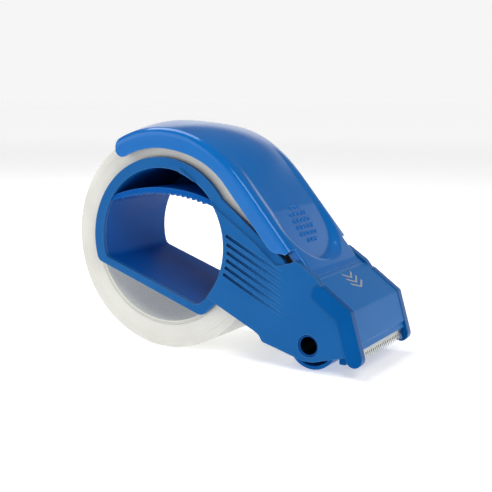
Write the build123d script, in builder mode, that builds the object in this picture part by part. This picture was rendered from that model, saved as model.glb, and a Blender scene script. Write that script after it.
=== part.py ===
"""Hand-held packing-tape dispenser: a loop handle inside the tape roll, a thumb cover that brakes the
roll, an applicator roller and a toothed blade. Millimetres, +Z up, +X towards the blade."""

from build123d import *
from math import asin, atan2, cos, degrees, radians, sin, sqrt
import os

os.makedirs("parts", exist_ok=True)

# ------------------------------------------------------------------ tape roll
tape_width = 48.0
core_bore_r = 38.1  # 3 in core
core_wall = 1.9
roll_r = 50.8  # 4 in over the tape

# ------------------------------------------------------------------ hand hub
hub_play = 0.5  # radial play of the core on the hub
hub_wall = 3.1
floor_wall = 3.5
floor_drop = 20.1  # hub axis to the top of the flat floor
floor_tilt = 19.5  # degrees, falling towards the blade
floor_corner_r = 4.0
flange_lip = 1.3  # stands out past the core bore
hub_overhang = 0.4  # hub beyond the far face of the roll

grip_rise = 25.3  # top of the finger grip above the hub axis
grip_arc_r = 84.0
grip_wall = 2.4
grip_tooth_r = 0.8
grip_tooth_pitch = 3.0
grip_plain = 4.5  # degrees of plain arc beside the hole's wall
grip_setback = 1.0  # front edge of the grip behind the plate's face
web_wall = 2.0

# ------------------------------------------------------------------ side walls
side_gap = 0.6  # tape edge to wall
plate_wall = 2.4
panel_raise = 1.0
crest_steps = ((-20.7, 6.0), (-17.0, 4.0), (-13.6, 5.0), (-10.2, 6.1), (-6.9, 5.8))
cheek_raise = 0.8  # cheek beyond the raised panel
bay_clear = 2.2  # far plate outside the roll

rib_count = 6
rib_pitch = 3.25
rib_first = 5.3
rib_tilt = 27.3
rib_width = 1.7
rib_depth = 2.0
rib_end_x = 65.0
ring_band = 1.8  # plain band between the hand hole and the ribs

# ------------------------------------------------------------------ nose
part_run = 58.33  # parting line of cover and nose panel, along the cover's straight part
part_rise = 1.06  # and above the cover's front end
nose_tilt = 36.0
nose_top = 21.6
front_tilt = 74.0
front_len = 17.0
panel_wall = 2.2
cheek_width = 7.5
cheek_proud = 0.3
cheek_start = 2.5
cheek_len = 23.4

# ------------------------------------------------------------------ blade
blade_wall = 0.5
blade_top = 8.0
blade_len = 13.9
tooth_pitch = 2.0
tooth_depth = 3.0
clamp_wall = 2.4
clamp_height = 7.0
rivet_r = 1.5
rivet_head_r = 2.6
rivet_head = 1.0
rivet_spread = 16.0

# ------------------------------------------------------------------ roller
roller_r = 11.5
roller_x = 77.4
roller_wall = 1.8
roller_hub_wall = 1.9
roller_web = 2.0
roller_play = 0.05
axle_r = 5.0
axle_bore_r = 4.0
axle_recess = 0.4
boss_wall = 2.4

# ------------------------------------------------------------------ thumb cover
cover_clear = 1.2  # cover to the full roll
cover_wall = 1.8
shoulder_r_over = 0.5  # edge of the side face outside the roll
ridge_rise = 1.9  # rounded edge of the top above the side face
arch_rise = 3.7  # middle of the top above the side face
edge_round = 3.2  # width of the rounded edge beside the arched top
dish_half = 20.5  # thumb dish on the straight part
dish_from = 6.0
dish_to = 16.0
dish_end = 50.5
dish_round = 14.0
dot_rows = (3, 5, 5, 5, 5, 3)
dot_pitch = 3.4
dot_step = 3.36
dot_from = 22.6
dot_r = 1.0
dot_rise = 0.6
skirt_blend = 2.0
skirt_overlap = 7.2  # skirt down over the side of the roll
skirt_wall = 1.5
skirt_clear = 0.3
skirt_front = 5.6  # height of the side face on the straight part
skirt_reach = 42.9  # straight part of the side face, from the end of the round part
cover_break = 39.8  # degrees above +X where the round part ends
cover_tail = 119.0
low_start = 84.0  # where the side face's lower edge starts to leave the roll
tail_round_r = 3.6
tongue_clear = 0.4
knuckle_r = 3.2
knuckle_clear = 0.2
pin_r = 1.5
pin_play = 0.05
pin_seat = 2.0
pad_clear = 0.6
pad_width = 30.0
pad_from = 16.0
pad_to = 19.0

# ------------------------------------------------------------------ posts, screws, spring, web
post_r = 3.3
post_clear = 2.0
screw_r = 1.25
screw_len = 12.0
screw_head_r = 2.6
screw_head = 1.6
spring_wall = 0.5
spring_width = 12.0
spring_run = 30.0
spring_gap = 0.7
tape_wall = 0.3
tape_clear = 0.3
tape_wrap = 16.0  # degrees the tape's end wraps round the roller
rest_size = 3.4

# ------------------------------------------------------------------ derived places
half_tape = tape_width / 2
wall_in = half_tape + side_gap
plate_out = wall_in + plate_wall
panel_out = plate_out + panel_raise
cheek_out = panel_out + cheek_raise
skirt_in = plate_out + skirt_clear
cover_out = skirt_in + skirt_wall
hub_r = core_bore_r - hub_play
hole_r = hub_r - hub_wall
flange_r = core_bore_r + flange_lip
core_r = core_bore_r + core_wall
hub_far = half_tape + hub_overhang
roller_z = -(roll_r - roller_r)


def unit(angle):
    """Direction at that many degrees above +X."""
    return Vector(cos(radians(angle)), sin(radians(angle)))


top_run = unit(-nose_tilt)
top_up = unit(90 - nose_tilt)
front_run = unit(-front_tilt)
front_up = unit(90 - front_tilt)
cover_dir = unit(cover_break - 90)
cover_up = unit(cover_break)
shoulder_r = roll_r + shoulder_r_over
inner_r = roll_r + cover_clear
crown_r = inner_r + cover_wall
ridge_r = shoulder_r + ridge_rise
arch_r = shoulder_r + arch_rise
dish_r = shoulder_r
low_r = roll_r - skirt_overlap
tongue_half = wall_in - tongue_clear
edge_in = cover_out - edge_round
part_point = cover_up * (crown_r + part_rise) + cover_dir * part_run
bend_point = part_point + top_run * nose_top
hinge = part_point - top_up * knuckle_r
roller_axis = Vector(roller_x, roller_z)
post_spots = [
    part_point + Vector(-15.5, -3.3),
    roller_axis + unit(112) * (roller_r + post_r + post_clear),
    roller_axis + Vector(-20.9, 2.7),
]


def on_top(run, depth):
    """Point on the nose's top, that far past the parting line and below the surface."""
    return part_point + top_run * run - top_up * depth


def on_front(run, depth):
    """Point on the nose's front, that far below the bend and behind the surface."""
    return bend_point + front_run * run - front_up * depth


def at_bend(depth):
    """Corner of the nose's section, mitred, that far below the surface."""
    return bend_point - (top_up + front_up) * (depth / (1 + top_up.dot(front_up)))


cheek_tip = on_front(cheek_len - cheek_width / 2, cheek_width / 2 - cheek_proud)
nose_reach = cheek_tip.X + cheek_width / 2
hub_x = -(nose_reach - roll_r) / 2
hub_z = roll_r


def on_cover(run, height):
    """Point on the cover's straight part: run along it, height from the hub axis."""
    return cover_up * height + cover_dir * run


def nose_line_run(height, depth):
    """Run along the cover's straight part, at that height, where it meets the nose's top line."""
    start = on_cover(0, height) - on_top(0, depth)
    return -start.dot(top_up) / cover_dir.dot(top_up)


def side(y):
    """Plane across the object at y, seen from -Y, with its origin on the hub axis."""
    return Plane(origin=(hub_x, y, hub_z), x_dir=(1, 0, 0), z_dir=(0, -1, 0))


def polar(radius, angle):
    """Point in a side plane at that radius and angle about the hub axis."""
    return unit(angle) * radius


def loop_region(radius, drop, mode=Mode.ADD):
    """Disc about the hub axis, cut flat by the tilted floor at that drop."""
    with BuildSketch(mode=Mode.PRIVATE) as region:
        Circle(radius)
        with Locations(unit(-90 - floor_tilt) * (drop + radius)):
            Rectangle(4 * radius, 2 * radius, rotation=-floor_tilt, mode=Mode.SUBTRACT)
        fillet(region.vertices(), floor_corner_r)
    return add(region.sketch, mode=mode)


def cheek_region():
    """Bent bar with round ends that guards the blade at one side of the nose."""
    inner = cheek_width - cheek_proud
    with BuildSketch(mode=Mode.PRIVATE) as region:
        with BuildLine():
            Polyline(
                on_top(cheek_start, -cheek_proud),
                at_bend(-cheek_proud),
                on_front(cheek_len, -cheek_proud),
                on_front(cheek_len, inner),
                at_bend(inner),
                on_top(cheek_start, inner),
                on_top(cheek_start, -cheek_proud),
            )
        make_face()
        ends = [v for v in region.vertices() if min(
            (Vector(v) - p).length for p in (at_bend(-cheek_proud), at_bend(inner))) > 1]
        fillet(ends, cheek_width / 2 - 0.02)
        fillet(region.vertices().sort_by_distance(at_bend(-cheek_proud))[0], 1.6)
        fillet(region.vertices().sort_by_distance(at_bend(inner))[0], 2.5)
    return region.sketch


def panel_region():
    """Raised area of the side wall, from the hand ring to the nose."""
    boss_r = axle_r + boss_wall
    boss = roller_axis
    crest = [part_point + Vector(*step) for step in crest_steps]
    with BuildSketch(mode=Mode.PRIVATE) as region:
        with BuildLine():
            Polyline(
                polar(hole_r + 1.9, 72.4),
                (18.8, 29.1),
                (28.2, 20.0),
                (30.4, 17.4),
                crest[0] + Vector(-9.2, 7.7),
                crest[0],
            )
            Spline(*crest, tangents=[(0.75, -0.66), (0.8, -0.5)])
            Polyline(
                crest[-1],
                on_top(0.6, -1.0),
                on_top(cheek_start + cheek_width / 2, 0.5),
                at_bend(cheek_width / 2),
                on_front(18.0, cheek_width / 2),
                on_front(18.4, cheek_width),
                boss + unit(-31) * (boss_r + 2.7),
                boss + unit(-72) * boss_r,
                boss + unit(-110) * boss_r,
                boss + Vector(-16.1, -3.0),
                boss + Vector(-22.8, -1.1),
                boss + Vector(-24.4, 1.7),
                boss + Vector(-26.8, 3.3),
                (26.2, -24.0),
                polar(hole_r - 8.0, -20),
                polar(hole_r - 8.0, 60),
                polar(hole_r + 1.9, 72.4),
            )
        make_face()
        add(cheek_region(), mode=Mode.SUBTRACT)
        corners = [boss + unit(a) * boss_r for a in (-72, -110)]
        corners += [boss + Vector(-22.8, -1.1), boss + Vector(-24.4, 1.7), boss + Vector(-26.8, 3.3)]
        for corner, radius in zip(corners, (3.0, 3.0, 2.0, 3.0, 2.0)):
            fillet(region.vertices().sort_by_distance(corner)[0], radius)
    return region.sketch


def save(piece, name):
    """Labels a finished piece and writes its file."""
    piece.part.label = name
    export_step(piece.part, f"parts/{name}.step")


panel_face = panel_region()
cheek_face = cheek_region()

# ------------------------------------------------------------------ frame: side plate with hand ring
with BuildPart() as side_frame:
    with BuildSketch(side(-wall_in)):
        loop_region(flange_r, floor_drop + floor_wall)
        with BuildLine():
            Polyline(
                polar(hole_r, 85),
                polar(flange_r - 1.0, 79),
                (17.0, 34.0),
                part_point + Vector(-15.5, 7.2),
                part_point + Vector(-9.5, -2.3),
                polar(hole_r, 0),
                polar(hole_r, 85),
            )
        make_face()
        add(panel_face)
        add(cheek_face, mode=Mode.SUBTRACT)
        loop_region(hole_r, floor_drop, mode=Mode.SUBTRACT)
        with Locations(roller_axis):
            Circle(axle_r, mode=Mode.SUBTRACT)
    extrude(amount=plate_wall)
    with BuildSketch(side(-wall_in)):
        with Locations(hinge):
            Circle(pin_r)
    extrude(amount=pin_seat, mode=Mode.SUBTRACT)
    with BuildSketch(side(-plate_out)):
        add(panel_face)
        loop_region(hole_r, floor_drop, mode=Mode.SUBTRACT)
        with Locations(roller_axis):
            Circle(axle_r, mode=Mode.SUBTRACT)
    extrude(amount=panel_raise)
    for i in range(rib_count):
        across = rib_first + i * rib_pitch
        along = sqrt((hole_r + ring_band) ** 2 - across ** 2)
        start = unit(-rib_tilt) * along + unit(90 - rib_tilt) * across
        length = (rib_end_x - start.X) / cos(radians(rib_tilt))
        rib_plane = Plane(
            origin=(hub_x + start.X, -panel_out, hub_z + start.Y),
            x_dir=(cos(radians(rib_tilt)), 0, -sin(radians(rib_tilt))),
            z_dir=(sin(radians(rib_tilt)), 0, cos(radians(rib_tilt))),
        )
        with BuildSketch(rib_plane):
            with BuildLine():
                Polyline((0, -1), (0, rib_depth), (length, 0), (length, -1), (0, -1))
            make_face()
        extrude(amount=rib_width / 2, both=True, mode=Mode.SUBTRACT)
save(side_frame, "side_frame")

# ------------------------------------------------------------------ frame: hand hub
with BuildPart() as hand_hub:
    with BuildSketch(side(hub_far)):
        loop_region(hub_r, floor_drop + floor_wall)
        loop_region(hole_r, floor_drop, mode=Mode.SUBTRACT)
    extrude(amount=hub_far + wall_in)
save(hand_hub, "hand_hub")

grip_axis = Vector(0, grip_rise - grip_arc_r)
tooth_arc_r = grip_arc_r - grip_wall
meet_z = (grip_axis.Y ** 2 + hole_r ** 2 - tooth_arc_r ** 2) / (2 * grip_axis.Y)
grip_reach = degrees(asin(sqrt(hole_r ** 2 - meet_z ** 2) / tooth_arc_r))
tooth_turn = degrees(grip_tooth_pitch / grip_arc_r)
tooth_count = int(2 * (grip_reach - grip_plain) / tooth_turn)


def grip_region(thickness):
    """Arched strip across the hand hole, from its top surface down."""
    with BuildSketch(mode=Mode.PRIVATE) as region:
        with Locations(grip_axis):
            Circle(grip_arc_r)
            Circle(grip_arc_r - thickness, mode=Mode.SUBTRACT)
        Circle(hole_r, mode=Mode.INTERSECT)
    return max(region.faces(), key=lambda f: f.center().Y)


with BuildPart() as finger_grip:
    with BuildSketch(side(hub_far)):
        add(grip_region(grip_wall))
        with Locations(grip_axis):
            with PolarLocations(
                tooth_arc_r,
                tooth_count + 1,
                90 - tooth_turn * tooth_count / 2,
                tooth_turn * tooth_count,
                endpoint=True,
            ):
                Circle(grip_tooth_r)
    extrude(amount=hub_far + plate_out - grip_setback)
save(finger_grip, "finger_grip")

with BuildPart() as pocket_web:
    with BuildSketch(side(hub_far)):
        Circle(hole_r)
        with Locations(grip_axis):
            Circle(grip_arc_r, mode=Mode.SUBTRACT)
    extrude(amount=web_wall)
save(pocket_web, "pocket_web")

# ------------------------------------------------------------------ frame: far plate
with BuildPart() as far_plate:
    with BuildSketch(side(panel_out)):
        add(panel_face)
        Circle(roll_r + bay_clear, mode=Mode.SUBTRACT)
        with Locations(roller_axis):
            Circle(axle_r, mode=Mode.SUBTRACT)
        with Locations(post_spots):
            Circle(screw_head_r + 0.1, mode=Mode.SUBTRACT)
    extrude(amount=screw_head)
    with BuildSketch(side(panel_out - screw_head)):
        add(panel_face)
        Circle(roll_r + bay_clear, mode=Mode.SUBTRACT)
        with Locations(roller_axis):
            Circle(axle_r, mode=Mode.SUBTRACT)
        with Locations(post_spots):
            Circle(screw_r + 0.1, mode=Mode.SUBTRACT)
    extrude(amount=plate_wall + panel_raise - screw_head)
    with BuildSketch(side(wall_in + pin_seat)):
        with Locations(hinge):
            Circle(pin_r)
    extrude(amount=pin_seat, mode=Mode.SUBTRACT)
save(far_plate, "far_plate")

with BuildPart() as spacer_posts:
    with BuildSketch(side(wall_in)):
        with Locations(post_spots):
            Circle(post_r)
            Circle(screw_r, mode=Mode.SUBTRACT)
    extrude(amount=screw_len)
    with BuildSketch(side(wall_in - screw_len)):
        with Locations(post_spots):
            Circle(post_r)
    extrude(amount=2 * wall_in - screw_len)
save(spacer_posts, "spacer_posts")

with BuildPart() as plate_screws:
    with BuildSketch(side(panel_out)):
        with Locations(post_spots):
            Circle(screw_head_r)
            with Locations((0, 0)):
                Rectangle(0.7, 3.2, mode=Mode.SUBTRACT)
                Rectangle(3.2, 0.7, mode=Mode.SUBTRACT)
    extrude(amount=0.9)
    with BuildSketch(side(panel_out - 0.9)):
        with Locations(post_spots):
            Circle(screw_head_r)
    extrude(amount=screw_head - 0.9)
    with BuildSketch(side(panel_out - screw_head)):
        with Locations(post_spots):
            Circle(screw_r)
    extrude(amount=screw_len - 1.0)
save(plate_screws, "plate_screws")

# ------------------------------------------------------------------ frame: nose
with BuildPart() as nose_panel:
    with BuildSketch(side(wall_in)):
        with BuildLine():
            Polyline(
                on_top(0.2, 0),
                bend_point,
                on_front(front_len, 0),
                on_front(front_len, panel_wall),
                at_bend(panel_wall),
                on_top(0.2, panel_wall),
                on_top(0.2, 0),
            )
        make_face()
        with Locations(hinge):
            Circle(knuckle_r + knuckle_clear, mode=Mode.SUBTRACT)
    extrude(amount=2 * wall_in)
    fillet(nose_panel.edges().filter_by(Axis.Y).sort_by_distance(
        (hub_x + bend_point.X, 0, hub_z + bend_point.Y))[0], 1.6)
save(nose_panel, "nose_panel")

with BuildPart() as near_cheek:
    with BuildSketch(side(-wall_in)):
        add(cheek_face)
    extrude(amount=cheek_out - wall_in)
    fillet(near_cheek.faces().sort_by(Axis.Y)[0].edges(), 0.5)
save(near_cheek, "near_cheek")

with BuildPart() as far_cheek:
    with BuildSketch(side(cheek_out)):
        add(cheek_face)
    extrude(amount=cheek_out - wall_in)
    fillet(far_cheek.faces().sort_by(Axis.Y)[-1].edges(), 0.5)
save(far_cheek, "far_cheek")

# ------------------------------------------------------------------ frame: blade and its clamp


def behind_front(run, depth):
    """Plane along the blade: local x is +Y, local y points down the nose's front."""
    place = on_front(run, depth)
    return Plane(
        origin=(hub_x + place.X, 0, hub_z + place.Y),
        x_dir=(0, 1, 0),
        z_dir=(-front_up.X, 0, -front_up.Y),
    )


tooth_total = int(tape_width / tooth_pitch)
blade_tip = blade_top + blade_len
with BuildPart() as blade:
    with BuildSketch(behind_front(blade_tip, panel_wall)):
        with BuildLine():
            edge = [(half_tape, -blade_len), (-half_tape, -blade_len)]
            for i in range(tooth_total):
                edge.append((-half_tape + i * tooth_pitch, -tooth_depth))
                edge.append((-half_tape + (i + 0.5) * tooth_pitch, 0))
            edge.append((half_tape, -tooth_depth))
            Polyline(*edge, close=True)
        make_face()
        with Locations((-rivet_spread, -blade_len + clamp_height / 2),
                       (rivet_spread, -blade_len + clamp_height / 2)):
            Circle(rivet_r, mode=Mode.SUBTRACT)
    extrude(amount=blade_wall)
save(blade, "blade")

rivet_row = -blade_len + clamp_height / 2
rivet_places = [(-rivet_spread, rivet_row), (rivet_spread, rivet_row)]
with BuildPart() as blade_clamp:
    with BuildSketch(behind_front(blade_tip, panel_wall + blade_wall)):
        with Locations((0, rivet_row)):
            Rectangle(tape_width, clamp_height)
        with Locations(rivet_places):
            Circle(rivet_r, mode=Mode.SUBTRACT)
    extrude(amount=clamp_wall)
    chamfer(blade_clamp.faces().sort_by(Axis.X)[0].edges(), 0.4)
save(blade_clamp, "blade_clamp")

with BuildPart() as blade_rivets:
    with BuildSketch(behind_front(blade_tip, panel_wall)):
        with Locations(rivet_places):
            Circle(rivet_r)
    extrude(amount=blade_wall + clamp_wall)
    with BuildSketch(behind_front(blade_tip, panel_wall + blade_wall + clamp_wall)):
        with Locations(rivet_places):
            Circle(rivet_head_r)
    extrude(amount=rivet_head, taper=25)
save(blade_rivets, "blade_rivets")

rest_corner = on_front(19.0, cheek_width + 1.0)
with BuildPart() as tape_rest:
    with BuildSketch(side(wall_in)):
        with Locations(rest_corner - Vector(rest_size / 2, rest_size / 2)):
            RectangleRounded(rest_size, rest_size, 0.8)
    extrude(amount=2 * wall_in)
save(tape_rest, "tape_rest")

# ------------------------------------------------------------------ frame: hinge pin and return spring
with BuildPart() as hinge_pin:
    with BuildSketch(side(wall_in + pin_seat)):
        with Locations(hinge):
            Circle(pin_r)
    extrude(amount=2 * (wall_in + pin_seat))
save(hinge_pin, "hinge_pin")

# ------------------------------------------------------------------ frame: roller axle
with BuildPart() as roller_axle:
    with BuildSketch(side(panel_out - axle_recess)):
        with Locations(roller_axis):
            Circle(axle_r)
            Circle(axle_bore_r, mode=Mode.SUBTRACT)
    extrude(amount=2 * (panel_out - axle_recess))
save(roller_axle, "roller_axle")

# ------------------------------------------------------------------ roller
bush_r = axle_r + roller_play
with BuildPart() as applicator_roller:
    with BuildSketch(side(half_tape)):
        with Locations(roller_axis):
            Circle(roller_r)
            Circle(roller_r - roller_wall, mode=Mode.SUBTRACT)
            Circle(bush_r + roller_hub_wall)
            Circle(bush_r, mode=Mode.SUBTRACT)
    extrude(amount=tape_width)
    with BuildSketch(side(roller_web / 2)):
        with Locations(roller_axis):
            Circle(roller_r - roller_wall)
            Circle(bush_r + roller_hub_wall, mode=Mode.SUBTRACT)
    extrude(amount=roller_web)
save(applicator_roller, "applicator_roller")

# ------------------------------------------------------------------ tape roll
with BuildPart() as tape_core:
    with BuildSketch(side(half_tape)):
        Circle(core_r)
        Circle(core_bore_r, mode=Mode.SUBTRACT)
    extrude(amount=tape_width)
save(tape_core, "tape_core")

with BuildPart() as tape_wound:
    with BuildSketch(side(half_tape)):
        Circle(roll_r)
        Circle(core_r, mode=Mode.SUBTRACT)
    extrude(amount=tape_width)
save(tape_wound, "tape_wound")

# ------------------------------------------------------------------ frame: tape between roll and roller
off_roll = roll_r + tape_clear
off_roller = roller_r + tape_clear
axis_gap = sqrt(roller_x ** 2 + roller_z ** 2)
axis_angle = degrees(atan2(roller_z, roller_x))
cross_angle = degrees(asin((off_roll + off_roller + tape_wall) / axis_gap))
leave_angle = axis_angle + 90 - cross_angle


def round_roller(radius, wrap):
    """Point on a circle about the roller's axis, past where the tape first meets the roller."""
    return roller_axis + unit(leave_angle + 180 + wrap) * radius


with BuildPart() as tape_web:
    with BuildSketch(side(half_tape)):
        with BuildLine():
            Polyline(
                round_roller(off_roller + tape_wall, 0),
                polar(off_roll, leave_angle),
                polar(off_roll + tape_wall, leave_angle),
                round_roller(off_roller, 0),
            )
            ThreePointArc(
                round_roller(off_roller, 0),
                round_roller(off_roller, tape_wrap / 2),
                round_roller(off_roller, tape_wrap),
            )
            Line(round_roller(off_roller, tape_wrap), round_roller(off_roller + tape_wall, tape_wrap))
            ThreePointArc(
                round_roller(off_roller + tape_wall, tape_wrap),
                round_roller(off_roller + tape_wall, tape_wrap / 2),
                round_roller(off_roller + tape_wall, 0),
            )
        make_face()
    extrude(amount=tape_width)
save(tape_web, "tape_web")

# ------------------------------------------------------------------ cover
slab_start = nose_line_run(crown_r, 0)
straight_low = shoulder_r - skirt_front
across_cover = Plane(
    origin=(hub_x, 0, hub_z),
    x_dir=(0, 1, 0),
    z_dir=(cover_dir.X, 0, cover_dir.Y),
)


def cover_section(half_width):
    """Arched skin of the cover, cut across its length: local x is +Y, local y is height."""
    with BuildSketch(mode=Mode.PRIVATE) as section:
        with BuildLine():
            Polyline(
                (-edge_in, ridge_r),
                (-cover_out, shoulder_r),
                (-cover_out, shoulder_r - cover_wall),
                (-skirt_in, shoulder_r - cover_wall),
                (-wall_in, inner_r),
            )
            ThreePointArc((-wall_in, inner_r), (0, arch_r - cover_wall), (wall_in, inner_r))
            Polyline(
                (wall_in, inner_r),
                (skirt_in, shoulder_r - cover_wall),
                (cover_out, shoulder_r - cover_wall),
                (cover_out, shoulder_r),
                (edge_in, ridge_r),
            )
            ThreePointArc((edge_in, ridge_r), (0, arch_r), (-edge_in, ridge_r))
        make_face()
        Rectangle(2 * half_width, 4 * roll_r, mode=Mode.INTERSECT)
    return section.sketch


def skirt_region():
    """Side face of the cover: from its shoulder down over the edge of the roll."""
    with BuildSketch(mode=Mode.PRIVATE) as region:
        with BuildLine():
            middle = (cover_tail + cover_break) / 2
            ThreePointArc(polar(shoulder_r, cover_tail), polar(shoulder_r, middle),
                          polar(shoulder_r, cover_break))
            Polyline(
                polar(shoulder_r, cover_break),
                on_cover(skirt_reach, shoulder_r),
                on_cover(skirt_reach - skirt_front, straight_low),
                on_cover(skirt_blend, straight_low),
            )
            Spline(on_cover(skirt_blend, straight_low), polar(low_r, low_start),
                   tangents=[cover_dir * -1, unit(low_start + 90)])
            ThreePointArc(polar(low_r, low_start), polar(low_r, (low_start + cover_tail) / 2),
                          polar(low_r, cover_tail))
            Line(polar(low_r, cover_tail), polar(shoulder_r, cover_tail))
        make_face()
        fillet(region.vertices().sort_by_distance(
            on_cover(skirt_reach - skirt_front, straight_low))[0], 3.0)
    return region.sketch


section_full = cover_section(cover_out)
section_tongue = cover_section(tongue_half)
skirt_face = skirt_region()
tip_r = (arch_r - low_r) / 2
tip_angle = cover_tail - degrees(tip_r / (low_r + tip_r))
dish_plane = Plane(
    origin=(hub_x + cover_up.X * dish_r, 0, hub_z + cover_up.Y * dish_r),
    x_dir=(0, 1, 0),
    z_dir=(-cover_up.X, 0, -cover_up.Y),
)

with BuildPart() as thumb_cover:
    with BuildSketch(across_cover):
        add(section_full)
    revolve(
        axis=Axis((hub_x, 0, hub_z), (0, -1, 0)),
        revolution_arc=cover_tail - cover_break,
    )
    with BuildSketch(across_cover):
        add(section_full)
    extrude(amount=skirt_reach)
    with BuildSketch(across_cover):
        add(section_tongue)
    extrude(amount=slab_start)
    for y in (cover_out, -skirt_in):
        with BuildSketch(side(y)):
            add(skirt_face)
        extrude(amount=skirt_wall)
    with BuildSketch(side(dish_half + cover_wall)):
        with BuildLine():
            Polyline(
                on_cover(dish_from - 3.0, inner_r),
                on_cover(dish_from - 3.0, ridge_r),
                on_cover(slab_start, ridge_r),
                on_cover(nose_line_run(dish_r - cover_wall, cover_wall) + 2.0, dish_r - cover_wall),
                on_cover(dish_to, dish_r - cover_wall),
                on_cover(dish_from - 3.0, inner_r),
            )
        make_face()
    extrude(amount=2 * (dish_half + cover_wall))
    with BuildSketch(side(cover_out)):
        with BuildLine():
            Polyline(
                on_cover(0, arch_r + 0.2),
                on_cover(dish_from, crown_r),
                on_cover(slab_start + 12.0, crown_r),
                on_cover(slab_start + 12.0, arch_r + 3.0),
                on_cover(0, arch_r + 3.0),
                on_cover(0, arch_r + 0.2),
            )
        make_face()
    extrude(amount=2 * cover_out, mode=Mode.SUBTRACT)
    with BuildSketch(side(tongue_half)):
        with BuildLine():
            Polyline(
                on_cover(slab_start - 2.0, crown_r - cover_wall),
                on_cover(slab_start, crown_r),
                part_point,
                on_top(0, cover_wall),
                on_top(-4.0, 2 * cover_wall),
                on_cover(slab_start - 2.0, crown_r - cover_wall),
            )
        make_face()
        with Locations(hinge):
            Circle(knuckle_r)
            Circle(pin_r + pin_play, mode=Mode.SUBTRACT)
    extrude(amount=2 * tongue_half)
    with BuildSketch(dish_plane) as dish_plan:
        with Locations((0, (dish_to + dish_end) / 2)):
            Rectangle(2 * dish_half, dish_end - dish_to)
        fillet(dish_plan.vertices().sort_by(Axis.Y)[-2:], dish_round)
    extrude(amount=-6.0, mode=Mode.SUBTRACT)
    with BuildSketch(side(dish_half)):
        with BuildLine():
            Polyline(
                on_cover(dish_from, crown_r + 2.0),
                on_cover(dish_from, crown_r),
                on_cover(dish_to, dish_r),
                on_cover(dish_to, crown_r + 2.0),
                on_cover(dish_from, crown_r + 2.0),
            )
        make_face()
    extrude(amount=2 * dish_half, mode=Mode.SUBTRACT)
    with BuildSketch(side(cover_out)):
        with BuildLine():
            Polyline(
                polar(low_r - 3.0, tip_angle),
                polar(arch_r + 3.0, tip_angle),
                polar(arch_r + 3.0, cover_tail + 8.0),
                polar(low_r - 3.0, cover_tail + 8.0),
                polar(low_r - 3.0, tip_angle),
            )
        make_face()
        with Locations(polar(low_r + tip_r, tip_angle)):
            Circle(tip_r, mode=Mode.SUBTRACT)
    extrude(amount=2 * cover_out, mode=Mode.SUBTRACT)
    for row in range(len(dot_rows)):
        run = dot_from + row * dot_step
        with BuildSketch(Plane(dish_plane.from_local_coords((0, run, 0)), x_dir=(0, 1, 0),
                               z_dir=(cover_up.X, 0, cover_up.Y))):
            with GridLocations(dot_pitch, 1, dot_rows[row], 1):
                Circle(dot_r)
        extrude(amount=dot_rise, taper=30)
save(thumb_cover, "thumb_cover")

# ------------------------------------------------------------------ cover: brake shoe


def above_roll(run):
    """Point on the brake shoe's curved face, that far along the cover's straight part."""
    return on_cover(run, sqrt((roll_r + pad_clear) ** 2 - run ** 2))


with BuildPart() as brake_shoe:
    with BuildSketch(side(pad_width / 2)):
        with BuildLine():
            Polyline(
                above_roll(pad_from),
                on_cover(pad_from, dish_r - cover_wall),
                on_cover(pad_to, dish_r - cover_wall),
                above_roll(pad_to),
            )
            ThreePointArc(above_roll(pad_to), above_roll((pad_from + pad_to) / 2), above_roll(pad_from))
        make_face()
    extrude(amount=pad_width)
save(brake_shoe, "brake_shoe")

# ------------------------------------------------------------------ frame: return spring
spring_post = post_spots[0]
spring_tip = on_cover(spring_run, dish_r - cover_wall - spring_gap)
spring_mid_r = post_r + spring_wall / 2
with BuildPart() as return_spring:
    with BuildSketch(side(spring_width / 2)):
        with BuildLine() as leaf:
            ThreePointArc(
                spring_post + unit(0) * spring_mid_r,
                spring_post + unit(60) * spring_mid_r,
                spring_post + unit(120) * spring_mid_r,
            )
            Spline(spring_post + unit(120) * spring_mid_r, spring_tip,
                   tangents=[unit(210), cover_dir * -1])
        trace(leaf.line, spring_wall)
    extrude(amount=spring_width)
save(return_spring, "return_spring")
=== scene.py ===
"""Hand-held packing-tape dispenser: the finished look, built on the CAD frame."""

import logging
from dataclasses import dataclass, field
from enum import Enum
from math import cos, degrees, pi, radians, sin, sqrt
from typing import Callable

import bmesh
import bpy
import numpy as np
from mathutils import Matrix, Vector


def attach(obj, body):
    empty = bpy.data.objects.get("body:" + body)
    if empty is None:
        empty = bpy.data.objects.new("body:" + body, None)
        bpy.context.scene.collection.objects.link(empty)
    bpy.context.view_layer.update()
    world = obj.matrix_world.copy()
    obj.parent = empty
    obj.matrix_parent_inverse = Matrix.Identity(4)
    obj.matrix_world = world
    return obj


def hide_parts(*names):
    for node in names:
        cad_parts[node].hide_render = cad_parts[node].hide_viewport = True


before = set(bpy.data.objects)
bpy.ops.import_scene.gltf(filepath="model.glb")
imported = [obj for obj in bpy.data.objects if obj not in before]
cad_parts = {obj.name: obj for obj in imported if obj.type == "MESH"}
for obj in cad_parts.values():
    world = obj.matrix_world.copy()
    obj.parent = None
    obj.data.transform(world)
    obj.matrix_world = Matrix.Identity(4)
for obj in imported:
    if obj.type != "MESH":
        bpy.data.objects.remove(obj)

LOG = logging.getLogger("dispenser")
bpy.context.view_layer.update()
MM = 0.001  # a millimetre in the frame's metres
MIX_A, MIX_B, MIX_COLOUR = 6, 7, 2  # colour sockets of a Mix node: two in, one out

# Sizes in millimetres and angles in degrees. The cover's places are given by their run along it
# and their height from the hub's axis; it is round about that axis, then straight.
HUB_X = -26.005
HUB_Z = 50.8
ROLL_R = 50.8
CORE_R = 40.0
COVER_BREAK = 39.8  # angle above +X at which the cover's round part turns straight
SHOULDER = 51.3  # height at which the cover's rise over the roll starts


class Body(Enum):
    """The rigid bodies of the frame that a piece can ride on."""

    FRAME = "frame"
    COVER = "cover"
    ROLL = "tape_roll"
    ROLLER = "roller"


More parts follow.
